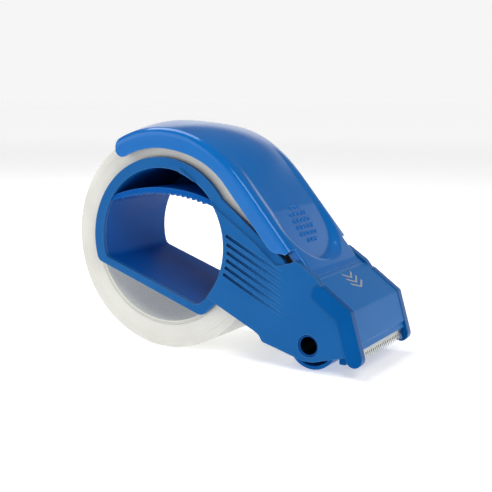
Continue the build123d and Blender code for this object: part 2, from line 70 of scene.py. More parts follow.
# ---------------------------------------------------------------- colour and nodes


def srgb(code: str) -> tuple[float, float, float, float]:
    """Turns an sRGB hex code into a linear colour.

    Args:
        code: Six hex digits.

    Returns:
        Linear red, green, blue and an alpha of 1.
    """
    parts = [int(code[i : i + 2], 16) / 255 for i in (0, 2, 4)]
    linear = [c / 12.92 if c <= 0.04045 else ((c + 0.055) / 1.055) ** 2.4 for c in parts]
    return (linear[0], linear[1], linear[2], 1.0)


def add_node(
    tree: bpy.types.NodeTree,
    kind: str,
    inputs: dict | None = None,
    **settings: object,
) -> bpy.types.Node:
    """Adds a node, sets its properties and fills or links its inputs.

    Args:
        tree: The tree to add to.
        kind: The node's type name.
        inputs: Input name or index to a value, or to an output socket to link.
        **settings: Properties of the node.

    Returns:
        The new node.
    """
    made = tree.nodes.new(kind)
    for name, value in settings.items():
        setattr(made, name, value)
    for key, value in (inputs or {}).items():
        if isinstance(value, bpy.types.NodeSocket):
            tree.links.new(value, made.inputs[key])
        else:
            made.inputs[key].default_value = value
    return made


def ramp(
    tree: bpy.types.NodeTree, fac: bpy.types.NodeSocket, stops: list[tuple[float, tuple]]
) -> bpy.types.NodeSocket:
    """Colour ramp through the given stops.

    Args:
        tree: The tree to add to.
        fac: What drives the ramp.
        stops: Positions with their colours, lowest first.

    Returns:
        The ramp's colour output.
    """
    made = add_node(tree, "ShaderNodeValToRGB", {"Fac": fac})
    marks = made.color_ramp.elements
    while len(marks) < len(stops):
        marks.new(0.5)
    for mark, (place, colour) in zip(marks, stops):
        mark.position = place
        mark.color = colour
    return made.outputs["Color"]


@dataclass(frozen=True)
class Finish:
    """What every finish has: a name for its material and a cached node material."""

    name: str

    def material(self) -> bpy.types.Material:
        """Makes the finish's material, or finds it if it is made.

        Returns:
            The material.
        """
        known = bpy.data.materials.get(self.name)
        if known:
            return known
        made = bpy.data.materials.new(self.name)
        made.use_nodes = True
        made.node_tree.nodes.clear()
        shader = add_node(made.node_tree, "ShaderNodeBsdfPrincipled")
        self.dress(made.node_tree, shader)
        add_node(made.node_tree, "ShaderNodeOutputMaterial", {"Surface": shader.outputs[0]})
        return made

    def dress(self, tree: bpy.types.NodeTree, shader: bpy.types.Node) -> None:
        """Fills the shader; each finish has its own.

        Args:
            tree: The material's node tree.
            shader: The tree's Principled shader, filled in place.
        """
        raise NotImplementedError


@dataclass(frozen=True)
class MouldedAbs(Finish):
    """Pigmented ABS, injection moulded: one colour right through, with the tool's own surface."""

    colour: str = "0A62AA"
    flow: str = "075EA5"  # the slightly deeper tone of slow-cooled areas
    sheen: str = "3C8CE0"  # the pigment tints what the surface mirrors
    mirror: float = 0.32
    roughness: float = 0.4
    coat: float = 0.0
    grain_mm: float = 0.35  # spark-eroded texture, drawn coarser than the real 0.05 mm
    grain_depth: float = 0.04
    flow_mm: float = 22.0
    corner_mm: float = 0.55  # radius the mould leaves on every edge
    edge_highlight: str = "6AA6DC"  # pale blue painted along every rounded edge as a highlight line
    edge_light: float = 0.4

    def dress(self, tree: bpy.types.NodeTree, shader: bpy.types.Node) -> None:
        """Soft flow tone, fine eroded grain, a roughness that varies a little, and a painted
        highlight along every edge.

        Args:
            tree: The material's node tree.
            shader: The tree's Principled shader, filled in place.
        """
        place = add_node(tree, "ShaderNodeTexCoord").outputs["Object"]
        broad = add_node(
            tree,
            "ShaderNodeTexNoise",
            {"Vector": place, "Scale": 1 / (self.flow_mm * MM), "Detail": 3.0, "Roughness": 0.5},
        ).outputs["Fac"]
        grain = add_node(
            tree,
            "ShaderNodeTexNoise",
            {"Vector": place, "Scale": 1 / (self.grain_mm * MM), "Detail": 2.0, "Roughness": 0.6},
        ).outputs["Fac"]
        tone = ramp(tree, broad, [(0.35, srgb(self.flow)), (0.65, srgb(self.colour))])
        rough = add_node(
            tree,
            "ShaderNodeMapRange",
            {
                "Value": broad,
                "From Min": 0.3,
                "From Max": 0.7,
                "To Min": self.roughness * 0.88,
                "To Max": self.roughness * 1.12,
            },
        ).outputs["Result"]
        corner = add_node(
            tree, "ShaderNodeBevel", {"Radius": self.corner_mm * MM}, samples=6
        ).outputs["Normal"]
        bump = add_node(
            tree,
            "ShaderNodeBump",
            {
                "Height": grain,
                "Strength": 0.5,
                "Distance": self.grain_depth * MM,
                "Normal": corner,
            },
        ).outputs["Normal"]
        flat = add_node(tree, "ShaderNodeNewGeometry").outputs["Normal"]
        same = add_node(
            tree, "ShaderNodeVectorMath", {0: corner, 1: flat}, operation="DOT_PRODUCT"
        ).outputs["Value"]
        share = add_node(
            tree,
            "ShaderNodeMapRange",
            {"Value": same, "From Min": 0.995, "From Max": 0.86, "To Max": self.edge_light},
        ).outputs["Result"]
        # Painted highlight: where the bevel-rounded normal turns away from the flat one, the colour
        # is mixed towards pale blue, standing in for the light that rounded edges catch.
        edge_lit_tone = add_node(
            tree,
            "ShaderNodeMix",
            {"Factor": share, MIX_A: tone, MIX_B: srgb(self.edge_highlight)},
            data_type="RGBA",
        ).outputs[MIX_COLOUR]
        tree.links.new(edge_lit_tone, shader.inputs["Base Color"])
        tree.links.new(rough, shader.inputs["Roughness"])
        tree.links.new(bump, shader.inputs["Normal"])
        shader.inputs["IOR"].default_value = 1.52
        shader.inputs["Specular Tint"].default_value = srgb(self.sheen)
        shader.inputs["Specular IOR Level"].default_value = self.mirror
        shader.inputs["Coat Weight"].default_value = self.coat
        shader.inputs["Coat Roughness"].default_value = 0.07


@dataclass(frozen=True)
class BoredAbs(MouldedAbs):
    """The same plastic on a long hollow part, with painted shade on the inside of its bore."""

    mouth_mm: float = 27.9  # distance from the middle at which the bore opens
    # near-black painted shade for the inside of the bore
    bore_shade: str = "02060C"

    def dress(self, tree: bpy.types.NodeTree, shader: bpy.types.Node) -> None:
        """Paints near-black shade on whatever lies further in than the mouth on either side.

        Args:
            tree: The material's node tree.
            shader: The tree's Principled shader, filled in place.
        """
        super().dress(tree, shader)
        unshaded_tone = shader.inputs["Base Color"].links[0].from_socket
        place = add_node(tree, "ShaderNodeTexCoord").outputs["Object"]
        across = add_node(tree, "ShaderNodeSeparateXYZ", {"Vector": place}).outputs["Y"]
        out = add_node(tree, "ShaderNodeMath", {0: across}, operation="ABSOLUTE").outputs["Value"]
        share = add_node(
            tree,
            "ShaderNodeMapRange",
            {"Value": out, "From Min": (self.mouth_mm - 1.2) * MM, "From Max": self.mouth_mm * MM},
        ).outputs["Result"]
        mixed = add_node(
            tree,
            "ShaderNodeMix",
            {"Factor": share, MIX_A: srgb(self.bore_shade), MIX_B: unshaded_tone},
            data_type="RGBA",
        ).outputs[MIX_COLOUR]
        tree.links.new(mixed, shader.inputs["Base Color"])


def radius_from(
    tree: bpy.types.NodeTree, centre: tuple[float, float]
) -> tuple[bpy.types.NodeSocket, bpy.types.NodeSocket]:
    """Distance from an axis along Y, and the object coordinates moved to that axis.

    Args:
        tree: The tree to add to.
        centre: X and Z of the axis in millimetres.

    Returns:
        The distance in metres, and the moved coordinates.
    """
    place = add_node(tree, "ShaderNodeTexCoord").outputs["Object"]
    moved = add_node(
        tree,
        "ShaderNodeMapping",
        {"Vector": place, "Location": (-centre[0] * MM, 0.0, -centre[1] * MM)},
    ).outputs["Vector"]
    flat = add_node(
        tree, "ShaderNodeVectorMath", {0: moved, 1: (1.0, 0.0, 1.0)}, operation="MULTIPLY"
    ).outputs["Vector"]
    away = add_node(tree, "ShaderNodeVectorMath", {0: flat}, operation="LENGTH").outputs["Value"]
    return away, moved


@dataclass(frozen=True)
class WoundTape(Finish):
    """Clear polypropylene tape, wound: light scatters between its layers, so the roll is milky."""

    pale: str = "DAD9D3"
    deep: str = "C8C7BF"
    layer_mm: float = 0.45  # single layers are 0.05 mm; drawn in groups so that they show

    def dress(self, tree: bpy.types.NodeTree, shader: bpy.types.Node) -> None:
        """Concentric layer lines on the sides, faint haze, light let in below the surface.

        Args:
            tree: The material's node tree.
            shader: The tree's Principled shader, filled in place.
        """
        away, moved = radius_from(tree, (HUB_X, HUB_Z))
        line = add_node(
            tree,
            "ShaderNodeTexNoise",
            {"W": away, "Scale": 1 / (self.layer_mm * MM), "Detail": 4.0, "Roughness": 0.7},
            noise_dimensions="1D",
        ).outputs["Fac"]
        haze = add_node(
            tree,
            "ShaderNodeTexNoise",
            {"Vector": moved, "Scale": 1 / (26 * MM), "Detail": 2.0},
        ).outputs["Fac"]
        both = add_node(
            tree, "ShaderNodeMath", {0: line, 1: haze}, operation="ADD"
        ).outputs["Value"]
        half = add_node(
            tree, "ShaderNodeMath", {0: both, 1: 0.5}, operation="MULTIPLY"
        ).outputs["Value"]
        tone = ramp(tree, half, [(0.36, srgb(self.deep)), (0.6, srgb(self.pale))])
        bump = add_node(
            tree, "ShaderNodeBump", {"Height": line, "Strength": 0.35, "Distance": 0.06 * MM}
        ).outputs["Normal"]
        tree.links.new(tone, shader.inputs["Base Color"])
        tree.links.new(bump, shader.inputs["Normal"])
        shader.inputs["Roughness"].default_value = 0.32
        shader.inputs["IOR"].default_value = 1.49
        shader.inputs["Subsurface Weight"].default_value = 0.35
        shader.inputs["Subsurface Radius"].default_value = (1.0, 1.0, 1.0)
        shader.inputs["Subsurface Scale"].default_value = 2.0 * MM


@dataclass(frozen=True)
class TapeFilm(Finish):
    """One clear film of tape with its adhesive, seen edge on as a milky sheet."""

    pale: str = "E2E3DE"

    def dress(self, tree: bpy.types.NodeTree, shader: bpy.types.Node) -> None:
        """Faint stretch streaks along the film and part of the light passing through.

        Args:
            tree: The material's node tree.
            shader: The tree's Principled shader, filled in place.
        """
        place = add_node(tree, "ShaderNodeTexCoord").outputs["Object"]
        long = add_node(
            tree,
            "ShaderNodeMapping",
            {"Vector": place, "Scale": (0.05, 1.0, 0.05)},
        ).outputs["Vector"]
        streak = add_node(
            tree, "ShaderNodeTexNoise", {"Vector": long, "Scale": 1 / (1.2 * MM), "Detail": 3.0}
        ).outputs["Fac"]
        tone = ramp(tree, streak, [(0.35, srgb("D2D4CD")), (0.65, srgb(self.pale))])
        tree.links.new(tone, shader.inputs["Base Color"])
        shader.inputs["Roughness"].default_value = 0.22
        shader.inputs["IOR"].default_value = 1.49
        shader.inputs["Transmission Weight"].default_value = 0.25


@dataclass(frozen=True)
class WoundBoard(Finish):
    """Spiral-wound grey paperboard core: parallel strips with thin glued seams."""

    pale: str = "C6C6BE"
    deep: str = "B7B7AE"
    seam: str = "97958A"
    strip_mm: float = 30.0
    bore_mm: float = 38.3  # inside this radius the bore is painted with a glow, standing in for daylight let in through the clear tape
    painted_glow: float = 0.4

    def dress(self, tree: bpy.types.NodeTree, shader: bpy.types.Node) -> None:
        """Fibre mottling, dark seams that climb the tube, matt paper bump, and a painted glow
        inside the bore.

        Args:
            tree: The material's node tree.
            shader: The tree's Principled shader, filled in place.
        """
        away, moved = radius_from(tree, (HUB_X, HUB_Z))
        split = add_node(tree, "ShaderNodeSeparateXYZ", {"Vector": moved})
        turn = add_node(
            tree,
            "ShaderNodeMath",
            {0: split.outputs["Z"], 1: split.outputs["X"]},
            operation="ARCTAN2",
        ).outputs["Value"]
        climb = add_node(
            tree,
            "ShaderNodeMath",
            {0: turn, 1: self.strip_mm * MM / (2 * pi)},
            operation="MULTIPLY",
        ).outputs["Value"]
        along = add_node(
            tree, "ShaderNodeMath", {0: split.outputs["Y"], 1: climb}, operation="ADD"
        ).outputs["Value"]
        cycle = add_node(
            tree, "ShaderNodeMath", {0: along, 1: self.strip_mm * MM}, operation="PINGPONG"
        ).outputs["Value"]
        seam = add_node(
            tree,
            "ShaderNodeMapRange",
            {"Value": cycle, "From Min": 0.0, "From Max": 0.35 * MM, "To Min": 0.0, "To Max": 1.0},
        ).outputs["Result"]
        fibre = add_node(
            tree, "ShaderNodeTexNoise", {"Vector": moved, "Scale": 1 / (0.8 * MM), "Detail": 5.0}
        ).outputs["Fac"]
        mixed = add_node(
            tree, "ShaderNodeMath", {0: fibre, 1: seam}, operation="MULTIPLY"
        ).outputs["Value"]
        tone = ramp(
            tree,
            mixed,
            [(0.0, srgb(self.seam)), (0.3, srgb(self.deep)), (0.6, srgb(self.pale))],
        )
        bump = add_node(
            tree, "ShaderNodeBump", {"Height": mixed, "Strength": 0.4, "Distance": 0.05 * MM}
        ).outputs["Normal"]
        tree.links.new(tone, shader.inputs["Base Color"])
        tree.links.new(bump, shader.inputs["Normal"])
        # Painted light: inside the bore the paper emits its own tone and glows, standing in for
        # light let in through the tape.
        through = add_node(
            tree,
            "ShaderNodeMapRange",
            {
                "Value": away,
                "From Min": self.bore_mm * MM,
                "From Max": (self.bore_mm + 0.3) * MM,
                "To Min": self.painted_glow,
                "To Max": 0.0,
            },
        ).outputs["Result"]
        tree.links.new(tone, shader.inputs["Emission Color"])
        tree.links.new(through, shader.inputs["Emission Strength"])
        shader.inputs["Roughness"].default_value = 0.85


@dataclass(frozen=True)
class WorkedSteel(Finish):
    """Bright steel with the fine parallel marks that grinding, rolling or turning leaves."""

    bright: str = "C9CBC8"
    dull: str = "A5A8A6"
    roughness: float = 0.3
    streak: tuple[float, float, float] = (1.0, 0.06, 1.0)
    streak_mm: float = 0.4

    def dress(self, tree: bpy.types.NodeTree, shader: bpy.types.Node) -> None:
        """Stretched noise gives the marks; they tint, roughen and bump the metal.

        Args:
            tree: The material's node tree.
            shader: The tree's Principled shader, filled in place.
        """
        place = add_node(tree, "ShaderNodeTexCoord").outputs["Object"]
        drawn = add_node(
            tree, "ShaderNodeMapping", {"Vector": place, "Scale": self.streak}
        ).outputs["Vector"]
        mark = add_node(
            tree,
            "ShaderNodeTexNoise",
            {"Vector": drawn, "Scale": 1 / (self.streak_mm * MM), "Detail": 5.0},
        ).outputs["Fac"]
        tone = ramp(tree, mark, [(0.3, srgb(self.dull)), (0.7, srgb(self.bright))])
        rough = add_node(
            tree,
            "ShaderNodeMapRange",
            {
                "Value": mark,
                "From Min": 0.3,
                "From Max": 0.7,
                "To Min": self.roughness * 0.8,
                "To Max": self.roughness * 1.3,
            },
        ).outputs["Result"]
        bump = add_node(
            tree, "ShaderNodeBump", {"Height": mark, "Strength": 0.3, "Distance": 0.02 * MM}
        ).outputs["Normal"]
        tree.links.new(tone, shader.inputs["Base Color"])
        tree.links.new(rough, shader.inputs["Roughness"])
        tree.links.new(bump, shader.inputs["Normal"])
        shader.inputs["Metallic"].default_value = 1.0


@dataclass(frozen=True)
class SerratedSteel(WorkedSteel):
    """Ground steel teeth, with painted shade in a narrow band beside every gap between two teeth.
    """

    pitch_mm: float = 2.0
    # width and colour of the painted shade beside each gap between teeth
    gap_shade_mm: float = 0.5
    gap_shade: str = "303336"

    def dress(self, tree: bpy.types.NodeTree, shader: bpy.types.Node) -> None:
        """Paints shade in a narrow band at both sides of every gap between two teeth.

        Args:
            tree: The material's node tree.
            shader: The tree's Principled shader, filled in place.
        """
        super().dress(tree, shader)
        face = shader.inputs["Base Color"].links[0].from_socket
        place = add_node(tree, "ShaderNodeTexCoord").outputs["Object"]
        across = add_node(tree, "ShaderNodeSeparateXYZ", {"Vector": place}).outputs["Y"]
        gap = add_node(
            tree, "ShaderNodeMath", {0: across, 1: self.pitch_mm / 2 * MM}, operation="PINGPONG"
        ).outputs["Value"]
        share = add_node(
            tree,
            "ShaderNodeMapRange",
            {"Value": gap, "From Min": self.gap_shade_mm * 0.6 * MM, "From Max": self.gap_shade_mm * MM},
        ).outputs["Result"]
        mixed = add_node(
            tree,
            "ShaderNodeMix",
            {"Factor": share, MIX_A: srgb(self.gap_shade), MIX_B: face},
            data_type="RGBA",
        ).outputs[MIX_COLOUR]
        tree.links.new(mixed, shader.inputs["Base Color"])


@dataclass(frozen=True)
class MattRubber(Finish):
    """Moulded black rubber with a dusty bloom."""

    def dress(self, tree: bpy.types.NodeTree, shader: bpy.types.Node) -> None:
        """Grey bloom in patches over near-black, fine grain.

        Args:
            tree: The material's node tree.
            shader: The tree's Principled shader, filled in place.
        """
        place = add_node(tree, "ShaderNodeTexCoord").outputs["Object"]
        bloom = add_node(
            tree, "ShaderNodeTexNoise", {"Vector": place, "Scale": 1 / (3 * MM), "Detail": 4.0}
        ).outputs["Fac"]
        tone = ramp(tree, bloom, [(0.4, srgb("232427")), (0.7, srgb("34363A"))])
        bump = add_node(
            tree, "ShaderNodeBump", {"Height": bloom, "Strength": 0.4, "Distance": 0.08 * MM}
        ).outputs["Normal"]
        tree.links.new(tone, shader.inputs["Base Color"])
        tree.links.new(bump, shader.inputs["Normal"])
        shader.inputs["Roughness"].default_value = 0.8


@dataclass(frozen=True)
class PadInk(Finish):
    """Silver-grey pad-printed ink: thin, slightly worn and uneven."""

    def dress(self, tree: bpy.types.NodeTree, shader: bpy.types.Node) -> None:
        """Mottled grey with a warm cast.

        Args:
            tree: The material's node tree.
            shader: The tree's Principled shader, filled in place.
        """
        place = add_node(tree, "ShaderNodeTexCoord").outputs["Object"]
        worn = add_node(
            tree, "ShaderNodeTexNoise", {"Vector": place, "Scale": 1 / (0.5 * MM), "Detail": 3.0}
        ).outputs["Fac"]
        tone = ramp(
            tree,
            worn,
            [(0.3, srgb("8E97A3")), (0.6, srgb("B4B4B0")), (0.8, srgb("BDB5A8"))],
        )
        tree.links.new(tone, shader.inputs["Base Color"])
        shader.inputs["Roughness"].default_value = 0.45
        shader.inputs["Metallic"].default_value = 0.3


@dataclass(frozen=True)
class StudioPaper(Finish):
    """White background paper, matt, with the barest tooth, lit from behind a little."""

    def dress(self, tree: bpy.types.NodeTree, shader: bpy.types.Node) -> None:
        """Nearly even white.

        Args:
            tree: The material's node tree.
            shader: The tree's Principled shader, filled in place.
        """
        place = add_node(tree, "ShaderNodeTexCoord").outputs["Object"]
        tooth = add_node(
            tree, "ShaderNodeTexNoise", {"Vector": place, "Scale": 40.0, "Detail": 2.0}
        ).outputs["Fac"]
        tone = ramp(tree, tooth, [(0.3, srgb("F6F6F6")), (0.7, srgb("FAFAFA"))])
        tree.links.new(tone, shader.inputs["Base Color"])
        away = add_node(
            tree, "ShaderNodeVectorMath", {0: place}, operation="LENGTH"
        ).outputs["Value"]
        glow = add_node(
            tree,
            "ShaderNodeMapRange",
            {"Value": away, "From Min": 0.4, "From Max": 2.5, "To Min": 0.48, "To Max": 0.66},
        ).outputs["Result"]
        tree.links.new(tone, shader.inputs["Emission Color"])
        tree.links.new(glow, shader.inputs["Emission Strength"])
        shader.inputs["Roughness"].default_value = 0.9


WALL = MouldedAbs(
    "abs_moulded_wall_blue", colour="185A98", flow="145694", sheen="4A98E0", mirror=0.42
)
HUB = MouldedAbs(
    "abs_moulded_hub_blue", colour="0553A2", flow="044E9B", roughness=0.42, mirror=0.16
)
AXLE = BoredAbs("abs_moulded_axle_blue", colour="0553A2", flow="044E9B", mirror=0.2)
# The nose's blue is set lighter than the wall's: painted reflection, standing in for the brighter
# sheen on the nose's top.
NOSE = MouldedAbs("abs_moulded_nose_blue", colour="0A66AC", flow="0862A7", roughness=0.36)
# The cheeks' blue is set darker than the wall's: painted shade, standing in for the dark reflection
# in their glossy faces.
CHEEK = MouldedAbs(
    "abs_polished_cheek_blue", colour="005092", flow="004B8C", roughness=0.24, grain_depth=0.01
)
COVER = MouldedAbs(
    "abs_polished_cover_blue",
    colour="0467B4",
    flow="0263B0",
    roughness=0.22,
    coat=0.5,
    grain_depth=0.008,
)
ROLLER = MouldedAbs("abs_turned_roller_blue", colour="0C5CA2", flow="08579D", roughness=0.3)
TAPE = WoundTape("polypropylene_tape_wound")
FILM = TapeFilm("polypropylene_tape_film")
CORE = WoundBoard("paperboard_core_spiral_wound")
BLADE = WorkedSteel("spring_steel_blade_ground", roughness=0.28)
TEETH = SerratedSteel("spring_steel_teeth_ground", roughness=0.32)
ZINC = WorkedSteel("steel_zinc_plated", dull="9DA1A2", roughness=0.34, streak=(1.0, 1.0, 0.2))
LEAF = WorkedSteel("spring_steel_rolled", dull="8F9294", bright="B4B7B8", roughness=0.3)
RUBBER = MattRubber("rubber_moulded_black")
INK = PadInk("pad_printed_ink_silver")
PAPER = StudioPaper("studio_paper_white")


# ---------------------------------------------------------------- mesh helpers


def spot(x: float, y: float, z: float) -> Vector:
    """Point given from the hub's axis in millimetres, in the row frame in metres."""
    return Vector(((x + HUB_X) * MM, y * MM, (z + HUB_Z) * MM))


def unit(angle: float) -> np.ndarray:
    """Direction at that many degrees above +X, as (x, z)."""
    return np.array([cos(radians(angle)), sin(radians(angle))])


def smooth(value: float) -> float:
    """Smooth step from 0 to 1."""
    held = min(1.0, max(0.0, value))
    return held * held * (3 - 2 * held)


def finish_piece(
    obj: bpy.types.Object,
    body: Body,
    finish: Finish | None,
    nodes: tuple[str, ...] = (),
) -> bpy.types.Object:
    """Gives a piece its finish, puts it on its body and reports it.

    Args:
        obj: The piece, at the origin.
        body: The body it rides on.
        finish: Its finish, or None to keep the materials it has.
        nodes: CAD nodes it stands for.

    Returns:
        The same piece.
    """
    if finish:
        obj.data.materials.clear()
        obj.data.materials.append(finish.material())
    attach(obj, body.value)
    if nodes:
        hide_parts(*nodes)
    LOG.info("%s: %d faces on %s", obj.name, len(obj.data.polygons), body.value)
    return obj


def new_object(name: str, mesh: bpy.types.Mesh) -> bpy.types.Object:
    """Links a mesh to the scene as an object at the origin."""
    obj = bpy.data.objects.new(name, mesh)
    bpy.context.scene.collection.objects.link(obj)
    return obj


def shade(mesh: bpy.types.Mesh, angle: float = 32.0) -> None:
    """Smooth shading with edges sharper than the angle kept crisp.

    Args:
        mesh: The mesh to shade.
        angle: Degrees between faces from which an edge is crisp.
    """
    bm = bmesh.new()
    bm.from_mesh(mesh)
    for face in bm.faces:
        face.smooth = True
    for edge in bm.edges:
        turned = edge.calc_face_angle(0.0) if len(edge.link_faces) == 2 else 0.0
        edge.smooth = turned < radians(angle)
    bm.to_mesh(mesh)
    bm.free()


def bake(obj: bpy.types.Object) -> None:
    """Turns an object's live modifiers into plain mesh and removes them.

    Args:
        obj: The object, whose mesh is replaced.
    """
    bpy.context.view_layer.update()
    graph = bpy.context.evaluated_depsgraph_get()
    solid = bpy.data.meshes.new_from_object(obj.evaluated_get(graph), depsgraph=graph)
    obj.modifiers.clear()
    obj.data = solid


def soften(obj: bpy.types.Object, width_mm: float, segments: int = 2, angle: float = 32.0) -> None:
    """Rounds an object's sharp edges, as a mould does, and shades it.

    Args:
        obj: The object, whose mesh is changed.
        width_mm: Width of the rounding.
        segments: Steps across the rounding.
        angle: Degrees from which an edge is rounded.
    """
    shade(obj.data, angle)
    bevel = obj.modifiers.new("edge_rounding", "BEVEL")
    bevel.width = width_mm * MM
    bevel.segments = segments
    bevel.limit_method = "ANGLE"
    bevel.angle_limit = radians(angle)
    bevel.harden_normals = True
    bevel.miter_outer = "MITER_ARC"
    bevel.use_clamp_overlap = True
    bake(obj)


@dataclass
class Refined:
    """A CAD node carried over with merged corners, rounded edges and its own finish."""

    node: str
    body: Body
    finish: Finish
    slot: str
    round_mm: float = 0.3
    segments: int = 2
    merge: bool = True
    shape: Callable[[bmesh.types.BMesh], None] | None = None  # extra moulded detail

    def build(self) -> bpy.types.Object:
        """Copies the node's mesh, cleans and rounds it, and stands it in for the node.

        Returns:
            The finished piece.
        """
        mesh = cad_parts[self.node].data.copy()
        mesh.name = f"{self.node}_finished"
        bm = bmesh.new()
        bm.from_mesh(mesh)
        bmesh.ops.remove_doubles(bm, verts=bm.verts, dist=2e-6)
        if self.merge:
            bmesh.ops.dissolve_limit(
                bm, angle_limit=radians(0.4), verts=bm.verts, edges=bm.edges, delimit=set()
            )
        if self.shape:
            self.shape(bm)
        bm.to_mesh(mesh)
        bm.free()
        obj = new_object(f"{self.node}_finished", mesh)
        if self.round_mm:
            soften(obj, self.round_mm, self.segments)
        else:
            shade(obj.data)
        return finish_piece(obj, self.body, self.finish, (self.node,))


def grid_solid(name: str, outer: np.ndarray, inner: np.ndarray) -> bpy.types.Mesh:
    """Closed shell between two grids of points of the same shape.

    Args:
        name: Name of the mesh.
        outer: Points of the outer skin, stations by columns by 3, in metres.
        inner: Points of the inner skin.

    Returns:
        The mesh, with doubles merged and normals outwards.
    """
    rows, cols = outer.shape[:2]
    points = np.concatenate([outer.reshape(-1, 3), inner.reshape(-1, 3)])
    shift = rows * cols
    faces = []
    for i in range(rows - 1):
        for j in range(cols - 1):
            a, b, c, d = i * cols + j, i * cols + j + 1, (i + 1) * cols + j + 1, (i + 1) * cols + j
            faces.append((a, b, c, d))
            faces.append((d + shift, c + shift, b + shift, a + shift))
    for i in range(rows - 1):
        for j in (0, cols - 1):
            a, d = i * cols + j, (i + 1) * cols + j
            faces.append((a, d, d + shift, a + shift))
    for j in range(cols - 1):
        for i in (0, rows - 1):
            a, b = i * cols + j, i * cols + j + 1
            faces.append((a, b, b + shift, a + shift))
    mesh = bpy.data.meshes.new(name)
    mesh.from_pydata([tuple(p) for p in points], [], faces)
    bm = bmesh.new()
    bm.from_mesh(mesh)
    bmesh.ops.remove_doubles(bm, verts=bm.verts, dist=1e-6)
    bmesh.ops.recalc_face_normals(bm, faces=bm.faces)
    bm.to_mesh(mesh)
    bm.free()
    return mesh


def lathe(
    name: str, profile: list[tuple[float, float]], centre: tuple[float, float], steps: int
) -> bpy.types.Mesh:
    """Closed ring turned about an axis along Y.

    Args:
        name: Name of the mesh.
        profile: Closed outline as (radius, y) in millimetres.
        centre: X and Z of the axis, from the hub's axis, in millimetres.
        steps: Steps round the ring.

    Returns:
        The mesh.
    """
    count = len(profile)
    points = []
    for i in range(steps):
        turn = 2 * pi * i / steps
        points += [
            spot(centre[0] + r * cos(turn), y, centre[1] + r * sin(turn)) for r, y in profile
        ]
    faces = []
    for i in range(steps):
        for j in range(count):
            a, b = i * count + j, i * count + (j + 1) % count
            far = (i + 1) % steps * count
            faces.append((a, b, far + (j + 1) % count, far + j))
    mesh = bpy.data.meshes.new(name)
    mesh.from_pydata([tuple(p) for p in points], [], faces)
    bm = bmesh.new()
    bm.from_mesh(mesh)
    bmesh.ops.recalc_face_normals(bm, faces=bm.faces)
    bm.to_mesh(mesh)
    bm.free()
    return mesh


# ---------------------------------------------------------------- geometry nodes


def new_tree(name: str, sizes: dict[str, tuple[str, object]]) -> bpy.types.NodeTree:
    """Geometry tree with a geometry in and out and named size inputs.

    Args:
        name: Name of the tree.
        sizes: Input name to its socket type and default.

    Returns:
        The empty tree.
    """
    tree = bpy.data.node_groups.new(name, "GeometryNodeTree")
    tree.interface.new_socket("Geometry", in_out="INPUT", socket_type="NodeSocketGeometry")
    for label, (kind, value) in sizes.items():
        made = tree.interface.new_socket(label, in_out="INPUT", socket_type=kind)
        if value is not None:
            made.default_value = value
    tree.interface.new_socket("Geometry", in_out="OUTPUT", socket_type="NodeSocketGeometry")
    return tree


def stud_tree() -> bpy.types.NodeTree:
    """Puts a low round stud on each point of the mesh, turned to the surface.

    Returns:
        The tree.
    """
    tree = new_tree(
        "studs_on_points",
        {
            "Radius": ("NodeSocketFloat", 1.0),
            "Rise": ("NodeSocketFloat", 0.5),
            "Tilt": ("NodeSocketFloat", 0.0),
            "Finish": ("NodeSocketMaterial", None),
        },
    )
    given = add_node(tree, "NodeGroupInput").outputs
    ball = add_node(
        tree, "GeometryNodeMeshUVSphere", {"Segments": 16, "Rings": 10, "Radius": 1.0}
    ).outputs["Mesh"]
    size = add_node(
        tree,
        "ShaderNodeCombineXYZ",
        {"X": given["Radius"], "Y": given["Radius"], "Z": given["Rise"]},
    ).outputs["Vector"]
    lean = add_node(tree, "ShaderNodeCombineXYZ", {"Y": given["Tilt"]}).outputs["Vector"]
    placed = add_node(
        tree,
        "GeometryNodeInstanceOnPoints",
        {"Points": given["Geometry"], "Instance": ball, "Rotation": lean, "Scale": size},
    ).outputs["Instances"]
    real = add_node(tree, "GeometryNodeRealizeInstances", {"Geometry": placed}).outputs["Geometry"]
    soft = add_node(
        tree, "GeometryNodeSetShadeSmooth", {"Geometry": real, "Shade Smooth": True}
    ).outputs["Geometry"]
    dressed = add_node(
        tree, "GeometryNodeSetMaterial", {"Geometry": soft, "Material": given["Finish"]}
    ).outputs["Geometry"]
    add_node(tree, "NodeGroupOutput", {"Geometry": dressed})
    return tree


def row_tree() -> bpy.types.NodeTree:
    """Repeats the mesh it is given along a line, for a blade's teeth.

    Returns:
        The tree.
    """
    tree = new_tree(
        "repeat_along_line",
        {
            "Count": ("NodeSocketInt", 24),
            "Pitch": ("NodeSocketVector", (0.0, 0.002, 0.0)),
            "Finish": ("NodeSocketMaterial", None),
        },
    )
    given = add_node(tree, "NodeGroupInput").outputs
    line = add_node(
        tree,
        "GeometryNodeMeshLine",
        {"Count": given["Count"], "Offset": given["Pitch"]},
    ).outputs["Mesh"]
    placed = add_node(
        tree, "GeometryNodeInstanceOnPoints", {"Points": line, "Instance": given["Geometry"]}
    ).outputs["Instances"]
    real = add_node(tree, "GeometryNodeRealizeInstances", {"Geometry": placed}).outputs["Geometry"]
    dressed = add_node(
        tree, "GeometryNodeSetMaterial", {"Geometry": real, "Material": given["Finish"]}
    ).outputs["Geometry"]
    add_node(tree, "NodeGroupOutput", {"Geometry": dressed})
    return tree


def grow(obj: bpy.types.Object, tree: bpy.types.NodeTree, values: dict[str, object]) -> None:
    """Runs a geometry tree on an object with these inputs and keeps the plain result.

    Args:
        obj: The object whose mesh is the tree's geometry.
        tree: The tree.
        values: Input name to value.
    """
    modifier = obj.modifiers.new(tree.name, "NODES")
    modifier.node_group = tree
    for item in tree.interface.items_tree:
        if item.item_type == "SOCKET" and item.in_out == "INPUT" and item.name in values:
            modifier[item.identifier] = values[item.name]
    bake(obj)


# ---------------------------------------------------------------- thumb cover


